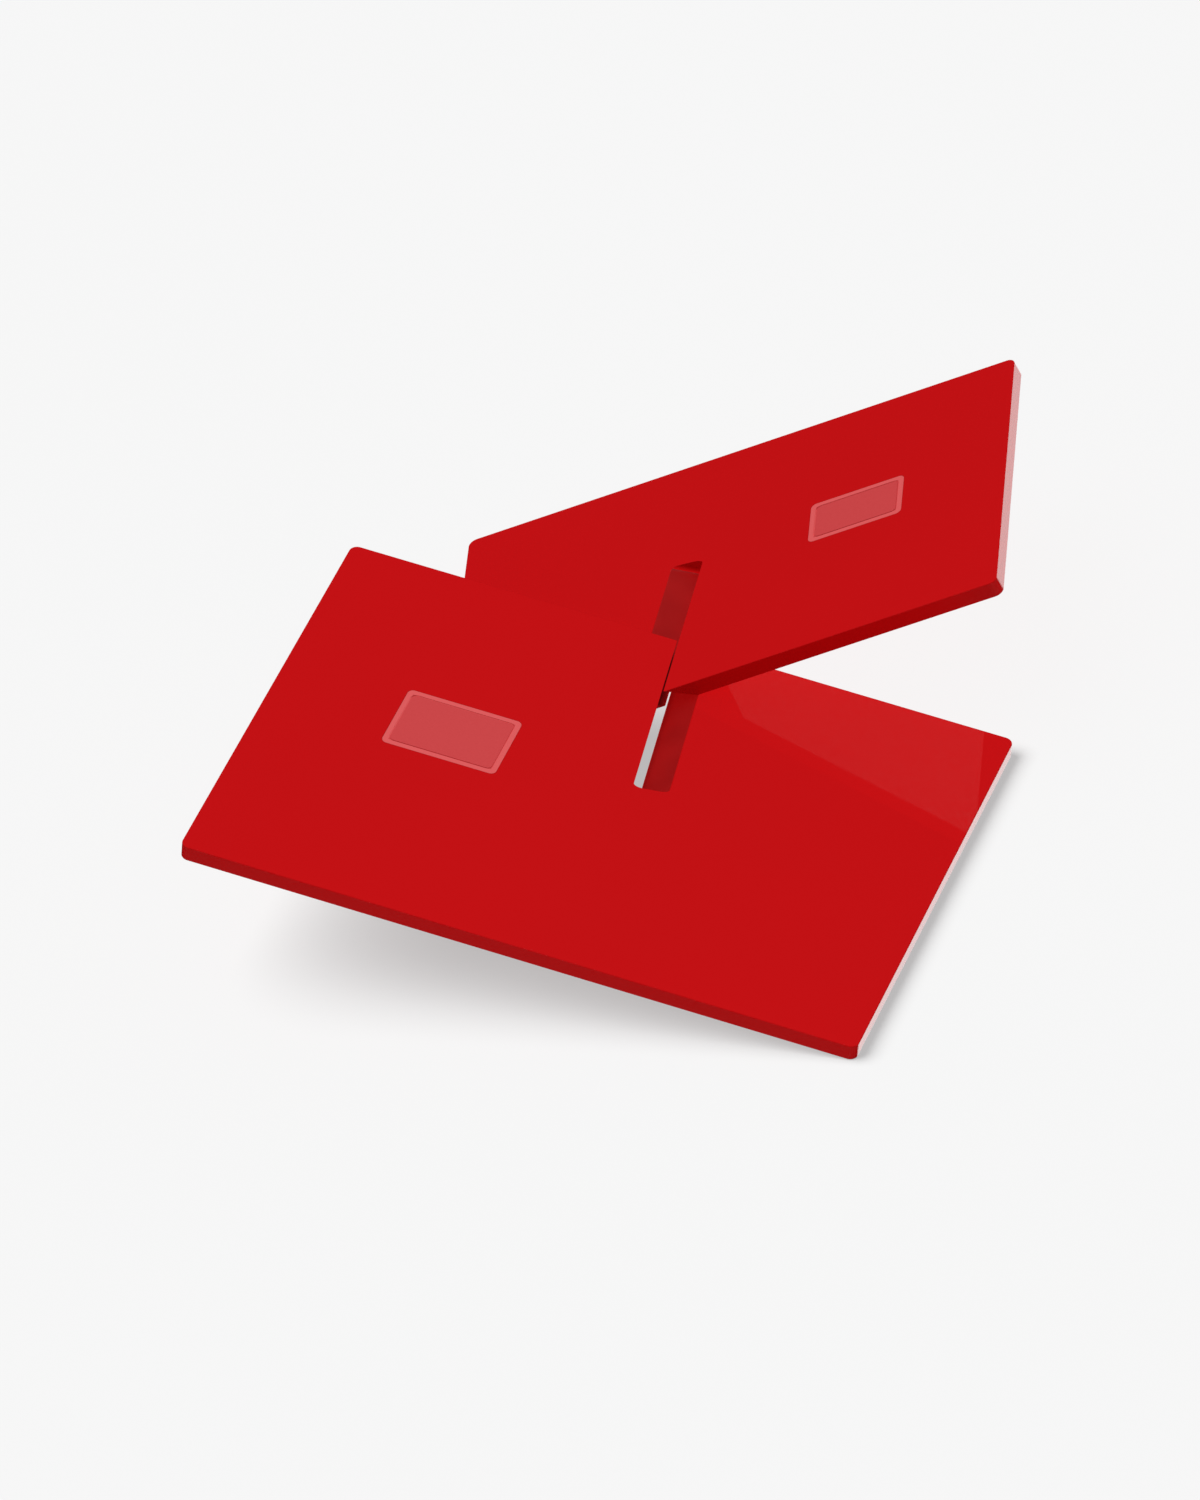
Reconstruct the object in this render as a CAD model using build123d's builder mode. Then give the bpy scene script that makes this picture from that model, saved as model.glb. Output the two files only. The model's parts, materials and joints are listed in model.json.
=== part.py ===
# Slot-together panel stand: two flat panels that cross at a shallow angle and slide
# into each other along one slot in each, with a blank badge let into each face.
#
# The frame: +Z is up, and the floor is z = 0. +X runs along the main panel towards the
# end that rests on the floor, and +Y runs across it towards the edge that its slot
# opens at. The origin is the middle of the floor under the whole stand. Millimetres.

import os
from math import cos, hypot, radians, sin

from build123d import *

# Sheet that both panels are cut from
sheet = 6.0             # thickness
corner_radius = 3.0     # at the corners of each panel
edge_radius = 0.3       # polished off every long edge

# Main panel, which rests on its right end
main_length = 240.0
main_width = 163.0
main_slot_from_left = 119.5     # middle of the slot at the back edge
main_slot_depth = 75.0          # along the slot, from the back edge

# Cross panel, which rests on its left end
cross_length = 209.0
cross_width = 125.0
cross_slot_from_left = 83.7     # middle of the slot at the front edge
cross_slot_depth = 69.0         # along the slot, from the front edge

# How the panels meet
crossing_angle = 30.0   # between the two panels
slot_skew = 8.3         # each slot leans this much away from its panel's width
slot_clearance = 0.15   # between a panel and the slot wall on each side of it
slot_end_radius = 1.8   # at the two corners of each slot's closed end
lap = 26.5              # how far the panels are slid together as they stand

# Badges let into the faces
badge_thickness = 1.0
badge_gap = 0.1         # between a badge and its pocket, all round
badge_corner = 2.0
badge_border = 1.8      # from the badge's rim to its engraved line
badge_line_width = 0.4
badge_line_depth = 0.25
main_badge_length = 41.0
main_badge_width = 28.0
main_badge_from_left = 64.0
main_badge_from_back = 74.0
cross_badge_length = 35.0
cross_badge_width = 21.0
cross_badge_from_right = 56.5
cross_badge_from_back = 57.0


def reach(middle, length, width, direction):
    """How far a rounded panel reaches in a direction from the frame's origin."""
    along = abs(direction.dot(middle.x_dir))
    across = abs(direction.dot(middle.y_dir))
    through = abs(direction.dot(middle.z_dir))
    flat = along * (length / 2 - corner_radius) + across * (width / 2 - corner_radius)
    rounding = (corner_radius - edge_radius) * hypot(along, across) + edge_radius
    return direction.dot(middle.origin) + flat + through * (sheet / 2 - edge_radius) + rounding


def down_at(tilt):
    """The way down when the main panel's right end is tipped down by a tilt in degrees."""
    return Vector(sin(radians(tilt)), 0, -cos(radians(tilt)))


# Both panels in the main panel's own frame, each held by the middle of its thickness.
# Both slots run along one line, which leans from the width by the skew in each panel.
main_middle = Plane.XY
slot_way = Vector(sin(radians(slot_skew)), -cos(radians(slot_skew)), 0)
main_across = Vector(cos(radians(slot_skew)), sin(radians(slot_skew)), 0)
cross_across = main_across.rotate(Axis((0, 0, 0), -slot_way), -crossing_angle)
cross_x = cross_across * cos(radians(slot_skew)) - slot_way * sin(radians(slot_skew))
cross_normal = cross_across.cross(-slot_way)
main_mouth = Vector(main_slot_from_left - main_length / 2, main_width / 2, 0)
cross_mouth = main_mouth + slot_way * lap
cross_y = cross_normal.cross(cross_x)
cross_centre = cross_mouth + cross_x * (cross_length / 2 - cross_slot_from_left) + cross_y * (cross_width / 2)
cross_middle = Plane(cross_centre, x_dir=cross_x, z_dir=cross_normal)

# The stand tips until the cross panel's left end reaches as low as the main panel's right end
low_tilt, high_tilt = 0.0, crossing_angle
for _ in range(40):
    tilt = (low_tilt + high_tilt) / 2
    down = down_at(tilt)
    cross_is_lower = (reach(cross_middle, cross_length, cross_width, down)
                      > reach(main_middle, main_length, main_width, down))
    low_tilt, high_tilt = (tilt, high_tilt) if cross_is_lower else (low_tilt, tilt)

# The floor under the middle of the stand, seen from the main panel
up = down * -1
right = Vector(0, 1, 0).cross(up)
back = Vector(0, 1, 0)
middle_of_floor = down * reach(main_middle, main_length, main_width, down)
for side in (right, back):
    near = -max(reach(main_middle, main_length, main_width, -side),
                reach(cross_middle, cross_length, cross_width, -side))
    far = max(reach(main_middle, main_length, main_width, side),
              reach(cross_middle, cross_length, cross_width, side))
    middle_of_floor = middle_of_floor + side * ((near + far) / 2)
floor = Plane(middle_of_floor, x_dir=right, z_dir=up)


def on_floor(origin, x_dir, z_dir):
    """A plane given in the main panel's frame, as it lies in the stand's frame."""
    return Plane(floor.location.inverse() * Plane(origin, x_dir=x_dir, z_dir=z_dir).location)


def panel_blank(middle, length, width):
    """A flat panel with round corners and polished edges."""
    with BuildPart() as blank:
        with BuildSketch(middle.offset(-sheet / 2)):
            RectangleRounded(length, width, corner_radius)
        extrude(amount=sheet)
        faces = blank.faces().sort_by(Axis(middle.origin, middle.z_dir))
        fillet(faces[0].edges() + faces[-1].edges(), edge_radius)
    return blank.part


main_plane = on_floor(main_middle.origin, main_middle.x_dir, main_middle.z_dir)
cross_plane = on_floor(cross_middle.origin, cross_middle.x_dir, cross_middle.z_dir)

# Each slot is a channel cut slantwise through its panel, so that its walls lie along the
# faces of the panel that passes through it
slot_width = sheet + 2 * slot_clearance
slot_overrun = 20.0     # past the panel's edge and faces
slot_through = sheet / sin(radians(crossing_angle)) + 2 * slot_overrun
main_slot_plane = on_floor(main_mouth, slot_way, cross_across)
cross_slot_plane = on_floor(cross_mouth, -slot_way, main_across)


def slot_sketch(plane, depth):
    """The slot's outline: from past the edge that it opens at to its closed end."""
    with BuildSketch(plane) as outline:
        with Locations(((depth - slot_overrun) / 2, 0)):
            RectangleRounded(depth + slot_overrun, slot_width, slot_end_radius)
    return outline.sketch


def badge_centre(middle, x, y):
    """The plane of a panel's upper face, centred where its badge goes."""
    face = middle.offset(sheet / 2)
    return Plane(face.from_local_coords((x, y, 0)), x_dir=face.x_dir, z_dir=face.z_dir)


main_badge_plane = badge_centre(main_plane, main_badge_from_left - main_length / 2,
                                main_width / 2 - main_badge_from_back)
cross_badge_plane = badge_centre(cross_plane, cross_length / 2 - cross_badge_from_right,
                                 cross_width / 2 - cross_badge_from_back)

# Main panel: its slot opens at the back edge
with BuildPart() as main_panel:
    add(panel_blank(main_plane, main_length, main_width))
    extrude(slot_sketch(main_slot_plane, main_slot_depth), amount=slot_through / 2, both=True,
            mode=Mode.SUBTRACT)
    with BuildSketch(main_badge_plane):
        RectangleRounded(main_badge_length + 2 * badge_gap, main_badge_width + 2 * badge_gap,
                         badge_corner + badge_gap)
    extrude(amount=-badge_thickness, mode=Mode.SUBTRACT)
main_panel.part.label = "main_panel"

# Cross panel: its slot opens at the front edge
with BuildPart() as cross_panel:
    add(panel_blank(cross_plane, cross_length, cross_width))
    extrude(slot_sketch(cross_slot_plane, cross_slot_depth), amount=slot_through / 2, both=True,
            mode=Mode.SUBTRACT)
    with BuildSketch(cross_badge_plane):
        RectangleRounded(cross_badge_length + 2 * badge_gap, cross_badge_width + 2 * badge_gap,
                         badge_corner + badge_gap)
    extrude(amount=-badge_thickness, mode=Mode.SUBTRACT)
cross_panel.part.label = "cross_panel"


def badge(plane, length, width):
    """A blank plate that fills its pocket flush with the face, with an engraved border."""
    with BuildPart() as plate:
        with BuildSketch(plane):
            RectangleRounded(length, width, badge_corner)
        extrude(amount=-badge_thickness)
        with BuildSketch(plane):
            RectangleRounded(length - 2 * badge_border, width - 2 * badge_border, badge_corner)
            RectangleRounded(length - 2 * badge_border - 2 * badge_line_width,
                             width - 2 * badge_border - 2 * badge_line_width,
                             badge_corner - badge_line_width, mode=Mode.SUBTRACT)
        extrude(amount=-badge_line_depth, mode=Mode.SUBTRACT)
    return plate.part


with BuildPart() as main_badge:
    add(badge(main_badge_plane, main_badge_length, main_badge_width))
main_badge.part.label = "main_badge"

with BuildPart() as cross_badge:
    add(badge(cross_badge_plane, cross_badge_length, cross_badge_width))
cross_badge.part.label = "cross_badge"

os.makedirs("parts", exist_ok=True)
for piece in (main_panel, cross_panel, main_badge, cross_badge):
    export_step(piece.part, f"parts/{piece.part.label}.step")
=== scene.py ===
# Slot-together panel stand: two glossy red panels crossed in a shallow X on a pale floor

import json
from math import radians

import bmesh
import bpy
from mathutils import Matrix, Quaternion, Vector

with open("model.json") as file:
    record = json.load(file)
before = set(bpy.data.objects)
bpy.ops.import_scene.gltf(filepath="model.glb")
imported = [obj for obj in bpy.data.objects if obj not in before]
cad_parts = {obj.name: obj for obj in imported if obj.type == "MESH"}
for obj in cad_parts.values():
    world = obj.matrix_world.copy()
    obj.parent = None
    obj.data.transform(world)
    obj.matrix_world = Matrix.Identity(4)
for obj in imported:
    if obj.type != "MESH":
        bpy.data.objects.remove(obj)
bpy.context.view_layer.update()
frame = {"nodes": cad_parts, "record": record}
scene = bpy.context.scene
mounts = {mount["name"]: mount for mount in frame["record"]["mounts"]}
mm = 0.001
print("frame loaded:", ", ".join(sorted(frame["nodes"])))


def toLinear(hexColour):
    # sRGB hex to the linear values that a shader socket takes
    parts = [int(hexColour[i:i + 2], 16) / 255 for i in (1, 3, 5)]
    linear = [c / 12.92 if c <= 0.04045 else ((c + 0.055) / 1.055) ** 2.4 for c in parts]
    return (*linear, 1.0)


def addNode(tree, kind, settings={}, inputs={}):
    # one node: its settings, then for each socket a value or the output that feeds it
    node = tree.nodes.new(kind)
    for name, value in settings.items():
        setattr(node, name, value)
    for name, value in inputs.items():
        if isinstance(value, bpy.types.NodeSocket):
            tree.links.new(value, node.inputs[name])
        else:
            node.inputs[name].default_value = value
    return node


def newMaterial(name):
    # an empty material, its node tree, and the point on the object that its patterns start from
    material = bpy.data.materials.new(name)
    material.use_nodes = True
    tree = material.node_tree
    tree.nodes.clear()
    return material, tree, addNode(tree, "ShaderNodeTexCoord").outputs["Object"]


def distanceAlong(tree, place, start, direction):
    # how far a place is from the start, measured along a direction
    away = addNode(tree, "ShaderNodeVectorMath", {"operation": "SUBTRACT"}, {0: place, 1: start})
    return addNode(tree, "ShaderNodeVectorMath", {"operation": "DOT_PRODUCT"},
                   {0: away.outputs[0], 1: direction}).outputs["Value"]


def within(tree, distance, reach):
    # 1 where a distance either way is less than the reach, 0 elsewhere
    eitherWay = addNode(tree, "ShaderNodeMath", {"operation": "ABSOLUTE"}, {0: distance})
    return addNode(tree, "ShaderNodeMath", {"operation": "LESS_THAN"},
                   {0: eitherWay.outputs[0], 1: reach}).outputs[0]


# polycarbonate sheet: coloured right through, hard gloss, mirrors what stands over it
glossySheet = {
    "thickness": 6 * mm,
    "colour": "#c41215",
    "drift": "#bf1114",         # pigment settles a little unevenly
    "driftPattern": {"Scale": 1 / (90 * mm), "Detail": 2.0},
    "ior": 1.585,               # polycarbonate
    "faceRoughness": 0.02,
    "smearRoughness": 0.07,     # handling marks
    "smearPattern": {"Scale": 1 / (45 * mm), "Detail": 6.0},
    "smearRange": (0.45, 0.75), # of the pattern: below it clean, above it fully smeared
    # slight waviness from the rolls
    "wavePattern": {"Scale": 1 / (70 * mm), "Detail": 0.0},
    "waveDepth": 0.003 * mm,
    "edgeLitColour": "#cd070a",    # painted light: a brighter, purer red than the faces, standing in for light the edges miss
    # the edge finish is machined, then buffed
    "edgeRoughness": 0.16,
    "edgeStart": 0.28 * mm,     # below the face, where the rounded rim turns into the edge
    # real tool marks are 0.3 mm apart, drawn coarser so that they show
    "markPattern": {"Scale": 1 / (1.1 * mm), "Detail": 3.0},
    "markDepth": 0.006 * mm,
    "slotShadeColour": "#8e0506",    # painted shade: a darker red standing in for the shade inside the slots
    # painted shade, lighter in patches
    "slotShadeDrift": "#a60a0b",
    "slotShadeDriftPattern": {"Scale": 1 / (14 * mm), "Detail": 1.0},
    # the slot walls are left rough, as the saw made them
    "sawnRoughness": 0.5,
    "slotWallReach": 13 * mm,       # from a slot's middle line to the far foot of its sloping wall
    "slotWallFacing": 0.5,          # a wall faces across the slot, so its normal has less along it
}


def glossySheetMaterial(name, facePoint, faceNormal, slotPoint, slotAlong):
    s = glossySheet
    material, tree, place = newMaterial(name)

    # how deep below the upper face a point lies: both faces are glossy, what lies between is edge
    half = s["thickness"] / 2
    offMiddle = addNode(tree, "ShaderNodeMath", {"operation": "ABSOLUTE"},
                        {0: distanceAlong(tree, place, facePoint - faceNormal * half, faceNormal)})
    edge = addNode(tree, "ShaderNodeMapRange", {"interpolation_type": "SMOOTHSTEP"},
                   {"Value": offMiddle.outputs[0], "From Min": half,
                    "From Max": half - s["edgeStart"]}).outputs["Result"]

    # slot walls, where painted shade goes and the finish is rougher: edge that runs along the slot,
    # close to the slot's middle line
    slotAcross = faceNormal.cross(slotAlong).normalized()
    near = within(tree, distanceAlong(tree, place, slotPoint, slotAcross), s["slotWallReach"])
    normal = addNode(tree, "ShaderNodeNewGeometry").outputs["True Normal"]
    alongSlot = within(tree, distanceAlong(tree, normal, (0, 0, 0), slotAlong), s["slotWallFacing"])
    inSlot = addNode(tree, "ShaderNodeMath", {"operation": "MULTIPLY"}, {0: near, 1: alongSlot})
    sawnAndShaded = addNode(tree, "ShaderNodeMath", {"operation": "MULTIPLY"},
                   {0: edge, 1: inSlot.outputs[0]}).outputs[0]

    drift = addNode(tree, "ShaderNodeTexNoise", {}, {"Vector": place, **s["driftPattern"]})
    sheetColour = addNode(tree, "ShaderNodeMix", {"data_type": "RGBA"},
                          {"Factor": drift.outputs["Fac"],
                           "A": toLinear(s["colour"]), "B": toLinear(s["drift"])})
    # painted shade on the slot walls: a darker red, varying in patches
    slotShadeDrift = addNode(tree, "ShaderNodeTexNoise", {}, {"Vector": place, **s["slotShadeDriftPattern"]})
    slotShadeColour = addNode(tree, "ShaderNodeMix", {"data_type": "RGBA"},
                         {"Factor": slotShadeDrift.outputs["Fac"],
                          "A": toLinear(s["slotShadeColour"]), "B": toLinear(s["slotShadeDrift"])})
    # painted light on the edges: a brighter red than the faces
    edgedColour = addNode(tree, "ShaderNodeMix", {"data_type": "RGBA"},
                          {"Factor": edge, "A": sheetColour.outputs["Result"],
                           "B": toLinear(s["edgeLitColour"])})
    # the slot walls get the painted shade in place of the sheet colour
    colour = addNode(tree, "ShaderNodeMix", {"data_type": "RGBA"},
                     {"Factor": sawnAndShaded, "A": edgedColour.outputs["Result"],
                      "B": slotShadeColour.outputs["Result"]})

    smears = addNode(tree, "ShaderNodeTexNoise", {}, {"Vector": place, **s["smearPattern"]})
    clean, smeared = s["smearRange"]
    faceRough = addNode(tree, "ShaderNodeMapRange", {},
                        {"Value": smears.outputs["Fac"], "From Min": clean, "From Max": smeared,
                         "To Min": s["faceRoughness"], "To Max": s["smearRoughness"]})
    edgedRough = addNode(tree, "ShaderNodeMix", {"data_type": "FLOAT"},
                         {"Factor": edge, "A": faceRough.outputs["Result"],
                          "B": s["edgeRoughness"]})
    rough = addNode(tree, "ShaderNodeMix", {"data_type": "FLOAT"},
                    {"Factor": sawnAndShaded, "A": edgedRough.outputs["Result"], "B": s["sawnRoughness"]})

    # tool marks run straight across the edge, so their pattern ignores the way through the sheet
    through = addNode(tree, "ShaderNodeVectorMath", {"operation": "PROJECT"},
                      {0: place, 1: faceNormal})
    flat = addNode(tree, "ShaderNodeVectorMath", {"operation": "SUBTRACT"},
                   {0: place, 1: through.outputs[0]})
    marks = addNode(tree, "ShaderNodeTexNoise", {}, {"Vector": flat.outputs[0], **s["markPattern"]})
    edgeMarks = addNode(tree, "ShaderNodeMath", {"operation": "MULTIPLY"},
                        {0: marks.outputs["Fac"], 1: edge})
    marked = addNode(tree, "ShaderNodeBump", {},
                     {"Height": edgeMarks.outputs[0], "Distance": s["markDepth"]})
    waves = addNode(tree, "ShaderNodeTexNoise", {}, {"Vector": place, **s["wavePattern"]})
    wavy = addNode(tree, "ShaderNodeBump", {},
                   {"Height": waves.outputs["Fac"], "Distance": s["waveDepth"],
                    "Normal": marked.outputs[0]})

    plastic = addNode(tree, "ShaderNodeBsdfPrincipled", {},
                      {"Base Color": colour.outputs["Result"], "Roughness": rough.outputs["Result"],
                       "IOR": s["ior"], "Normal": wavy.outputs[0]})
    addNode(tree, "ShaderNodeOutputMaterial", {}, {"Surface": plastic.outputs[0]})
    return material


# sandblasted polycarbonate inlay: the same plastic, frosted paler, with a paler rim
frostedInlay = {
    "field": "#cd4648",
    "fieldSpeck": "#c63f41",
    "rim": "#db595a",
    "rimWidth": 2 * mm,         # out to the engraved line
    "ior": 1.585,
    "roughness": (0.34, 0.5),   # least and most
    # blasting grit leaves 0.2 mm pits, drawn coarser so that they show
    "gritPattern": {"Scale": 1 / (0.7 * mm), "Detail": 2.0},
    "gritDepth": 0.02 * mm,
}
# which way each badge's long side runs, and its size
badges = {
    "main_badge": {"label": "main_label_face", "rightward": (0.97465, 0.0, -0.22373),
                   "length": 41 * mm, "width": 28 * mm},
    "cross_badge": {"label": "cross_label_face", "rightward": (0.91687, 0.26655, 0.29716),
                    "length": 35 * mm, "width": 21 * mm},
}


def frostedInlayMaterial(name, badge):
    s = frostedInlay
    material, tree, place = newMaterial(name)
    centre = Vector(mounts[badge["label"]]["pos_m"])
    rightward = Vector(badge["rightward"])
    backward = Vector(mounts[badge["label"]]["axis"]).cross(rightward)
    inLength = within(tree, distanceAlong(tree, place, centre, rightward),
                      badge["length"] / 2 - s["rimWidth"])
    inWidth = within(tree, distanceAlong(tree, place, centre, backward),
                     badge["width"] / 2 - s["rimWidth"])
    field = addNode(tree, "ShaderNodeMath", {"operation": "MULTIPLY"}, {0: inLength, 1: inWidth})

    grit = addNode(tree, "ShaderNodeTexNoise", {}, {"Vector": place, **s["gritPattern"]})
    fieldColour = addNode(tree, "ShaderNodeMix", {"data_type": "RGBA"},
                          {"Factor": grit.outputs["Fac"],
                           "A": toLinear(s["field"]), "B": toLinear(s["fieldSpeck"])})
    colour = addNode(tree, "ShaderNodeMix", {"data_type": "RGBA"},
                     {"Factor": field.outputs[0], "A": toLinear(s["rim"]),
                      "B": fieldColour.outputs["Result"]})
    smoothest, roughest = s["roughness"]
    rough = addNode(tree, "ShaderNodeMapRange", {},
                    {"Value": grit.outputs["Fac"], "To Min": smoothest, "To Max": roughest})
    pitted = addNode(tree, "ShaderNodeBump", {},
                     {"Height": grit.outputs["Fac"], "Distance": s["gritDepth"]})

    frosted = addNode(tree, "ShaderNodeBsdfPrincipled", {},
                      {"Base Color": colour.outputs["Result"], "Roughness": rough.outputs["Result"],
                       "IOR": s["ior"], "Normal": pitted.outputs[0]})
    addNode(tree, "ShaderNodeOutputMaterial", {}, {"Surface": frosted.outputs[0]})
    return material


def giveMaterial(node, material):
    piece = frame["nodes"][node]
    for i in range(len(piece.material_slots)):
        piece.material_slots[i].material = material


labels = {"main_panel": mounts["main_label_face"], "cross_panel": mounts["cross_label_face"]}
upward = {panel: Vector(label["axis"]) for panel, label in labels.items()}
slotAlong = upward["main_panel"].cross(upward["cross_panel"]).normalized()
for mouth in frame["record"]["physics"]["openings"]:
    panel = mouth["name"].replace("slot_mouth", "panel")
    low, high = mouth["box_m"]
    giveMaterial(panel, glossySheetMaterial("glossy_polycarbonate_" + panel,
                                            Vector(labels[panel]["pos_m"]), upward[panel],
                                            (Vector(low) + Vector(high)) / 2, slotAlong))
for node, badge in badges.items():
    giveMaterial(node, frostedInlayMaterial("frosted_polycarbonate_" + node, badge))
print("panels and badges have their polycarbonate")


# studio floor: pale translucent board, lit evenly from underneath as well as from above
studioFloor = {
    "size": 30.0,
    "colour": "#616161",
    "fleck": "#606060",
    "fleckPattern": {"Scale": 1 / (400 * mm), "Detail": 2.0},
    "underlight": 0.476,        # glow through the board
}


def studioFloorMaterial(name):
    s = studioFloor
    material, tree, place = newMaterial(name)
    flecks = addNode(tree, "ShaderNodeTexNoise", {}, {"Vector": place, **s["fleckPattern"]})
    colour = addNode(tree, "ShaderNodeMix", {"data_type": "RGBA"},
                     {"Factor": flecks.outputs["Fac"],
                      "A": toLinear(s["colour"]), "B": toLinear(s["fleck"])})
    board = addNode(tree, "ShaderNodeBsdfDiffuse", {}, {"Color": colour.outputs["Result"]})
    glow = addNode(tree, "ShaderNodeEmission", {}, {"Strength": s["underlight"]})
    both = addNode(tree, "ShaderNodeAddShader", {}, {0: board.outputs[0], 1: glow.outputs[0]})
    addNode(tree, "ShaderNodeOutputMaterial", {}, {"Surface": both.outputs[0]})
    return material


def buildFloor():
    shape = bmesh.new()
    bmesh.ops.create_grid(shape, x_segments=1, y_segments=1, size=studioFloor["size"] / 2)
    mesh = bpy.data.meshes.new("floor")
    shape.to_mesh(mesh)
    shape.free()
    floor = bpy.data.objects.new("floor", mesh)
    mesh.materials.append(studioFloorMaterial("studio_board"))
    floor.visible_glossy = False    # the gloss shows only the reflector below
    floor.visible_shadow = False    # lets that reflector through
    scene.collection.objects.link(floor)


buildFloor()
print("floor laid")


# light: soft keys for the board and the stand, an even fill, and a reflector for the gloss
boardKey = {"towards": (-0.62, -0.18, 1.0), "spread": 52.0, "strength": 13.5}
standKey = {"towards": (-0.053, 0.1, 1.0), "spread": 60.0, "strength": 2.85}
fill = {"colour": "#ffffff", "strength": 0.2}
reflector = {"place": (0.32, 1.2, -0.85), "size": 1.3, "power": 8.5}


def addLamp(name, kind, place, settings):
    data = bpy.data.lights.new(name, kind)
    for setting, value in settings.items():
        setattr(data, setting, value)
    lamp = bpy.data.objects.new(name, data)
    lamp.location = place
    lamp.rotation_mode = "QUATERNION"
    lamp.rotation_quaternion = (-Vector(place)).to_track_quat("-Z", "Y")
    lamp.visible_camera = False
    scene.collection.objects.link(lamp)
    return lamp


def addKey(name, settings, lights, blockers):
    # a key that lights some pieces only, and is shaded by some pieces only
    key = addLamp(name, "SUN", settings["towards"],
                  {"angle": radians(settings["spread"]), "energy": settings["strength"]})
    key.visible_glossy = False
    lit = bpy.data.collections.new(name + "_lights")
    shade = bpy.data.collections.new(name + "_blockers")
    for piece in lights:
        lit.objects.link(piece)
    for piece in blockers:
        shade.objects.link(piece)
    key.light_linking.receiver_collection = lit
    key.light_linking.blocker_collection = shade


def addLights():
    # the keys are so wide that the upper panel throws no shadow worth drawing
    panel = frame["nodes"]["main_panel"]
    addKey("board_key", boardKey, [bpy.data.objects["floor"]], [panel])
    addKey("stand_key", standKey, frame["nodes"].values(), [panel])

    card = addLamp("reflector", "AREA", reflector["place"],
                   {"shape": "SQUARE", "size": reflector["size"], "energy": reflector["power"]})
    card.visible_diffuse = False

    world = bpy.data.worlds.new("studio")
    world.use_nodes = True
    tree = world.node_tree
    tree.nodes.clear()
    background = addNode(tree, "ShaderNodeBackground", {}, {"Color": toLinear(fill["colour"]),
                                                            "Strength": fill["strength"]})
    addNode(tree, "ShaderNodeOutputWorld", {}, {"Surface": background.outputs[0]})
    world.cycles_visibility.glossy = False
    scene.world = world


addLights()
scene.view_settings.view_transform = "Standard"
print("lights on")


# camera: a long lens from the front right, tipped a little
viewpoint = {
    "aim": (-0.0166, -0.0241, 0.0167),
    "azimuth": 26.88,           # round from the front towards the right
    "elevation": 38.21,
    "roll": 10.74,
    "distance": 4.668,
    "lens": 330.2,
    "sensor": 36.0,
}


def addCamera():
    s = viewpoint
    around = Quaternion((0, 0, 1), radians(s["azimuth"]))
    upwards = Quaternion((1, 0, 0), radians(-s["elevation"]))
    back = around @ upwards @ Vector((0, -1, 0))
    data = bpy.data.cameras.new("camera")
    data.lens = s["lens"]
    data.sensor_width = s["sensor"]
    camera = bpy.data.objects.new("camera", data)
    camera.location = Vector(s["aim"]) + back * s["distance"]
    camera.rotation_mode = "QUATERNION"
    roll = Quaternion((0, 0, 1), radians(-s["roll"]))
    camera.rotation_quaternion = (-back).to_track_quat("-Z", "Y") @ roll
    scene.collection.objects.link(camera)
    scene.camera = camera


addCamera()
print("camera set")
